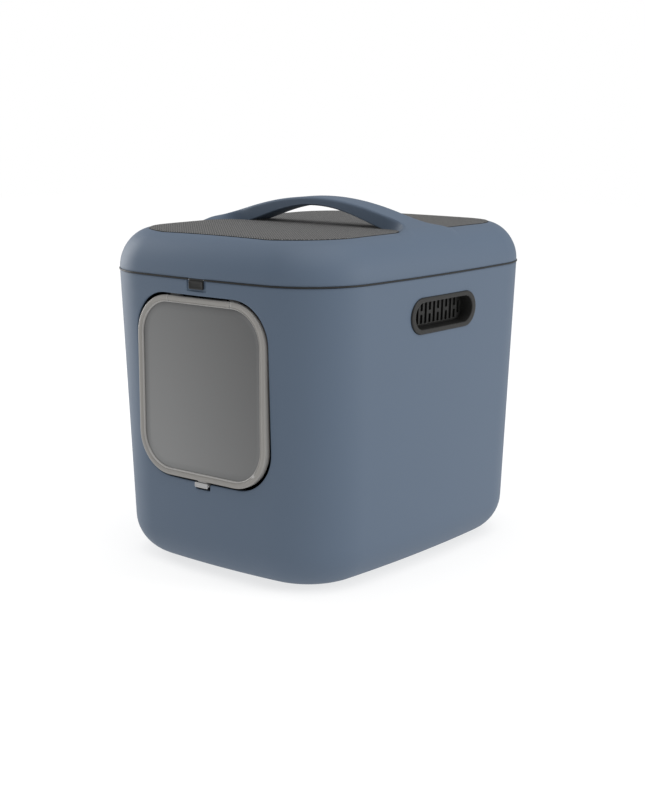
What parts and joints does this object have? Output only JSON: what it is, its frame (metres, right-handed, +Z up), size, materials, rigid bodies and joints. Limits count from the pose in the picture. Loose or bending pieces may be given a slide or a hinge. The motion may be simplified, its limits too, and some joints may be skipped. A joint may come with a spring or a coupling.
{
  "type": "covered cat litter box",
  "caption": "Tall covered cat litter box with a hinged lid and carrying handle, a framed swing flap in the front and vented side grips with carbon filters.",
  "frame": {"origin": "on the floor under the middle of the tub", "axes": "+X to the right of someone who faces the flap, -Y is the front with the flap, +Z is up"},
  "size_m": [0.402, 0.4983, 0.4695],
  "materials": {
    "blue_plastic": "fine matt moulded polypropylene, slate blue",
    "black_plastic": "satin black moulded plastic",
    "greige_plastic": "satin warm grey plastic",
    "smoke_pane": "smoked translucent plastic, softly polished",
    "mat_rubber": "fine ribbed anti-slip mat, dark grey",
    "white_plastic": "white satin plastic",
    "foot_rubber": "soft black rubber",
    "carbon_felt": "activated-carbon felt",
    "screw_steel": "zinc-plated steel"
  },
  "bodies": {
    "tub": {"tub_shell": "blue_plastic", "rubber_feet": "foot_rubber", "right_grip": "black_plastic", "left_grip": "black_plastic", "right_filter": "carbon_felt", "left_filter": "carbon_felt", "right_filter_cover": "black_plastic", "left_filter_cover": "black_plastic", "flap_brackets": "greige_plastic", "bracket_screws": "screw_steel", "tub_hinges": "black_plastic", "tub_hinge_screws": "screw_steel", "lid_hinge_pins": "screw_steel"},
    "flap": {"flap_frame": "greige_plastic", "flap_pane": "smoke_pane", "flap_hinge_cover": "greige_plastic", "flap_pins": "screw_steel"},
    "lock": {"flap_lock": "white_plastic"},
    "lid": {"lid_shell": "blue_plastic", "top_mat": "mat_rubber", "rim_ring": "black_plastic", "lid_hinges": "black_plastic", "lid_hinge_screws": "screw_steel", "latch_pin": "screw_steel"},
    "latch": {"lid_latch": "black_plastic"}
  },
  "joints": [
    {"name": "lid_hinge", "type": "hinge", "parent": "tub", "child": "lid", "pos_m": [0, 0.2483, 0.3806], "axis": [-1, 0, 0], "range_deg": [0, 100]},
    {"name": "latch_hinge", "type": "hinge", "parent": "lid", "child": "latch", "pos_m": [0, -0.2436, 0.3806], "axis": [-1, 0, 0], "range_deg": [0, 60]},
    {"name": "flap_hinge", "type": "hinge", "parent": "tub", "child": "flap", "pos_m": [0, -0.2365, 0.3535], "axis": [-1, 0, 0], "range_deg": [-60, 45]},
    {"name": "lock_slide", "type": "slide", "parent": "flap", "child": "lock", "axis": [0, 0, -1], "range_m": [0, 0.005]}
  ]
}
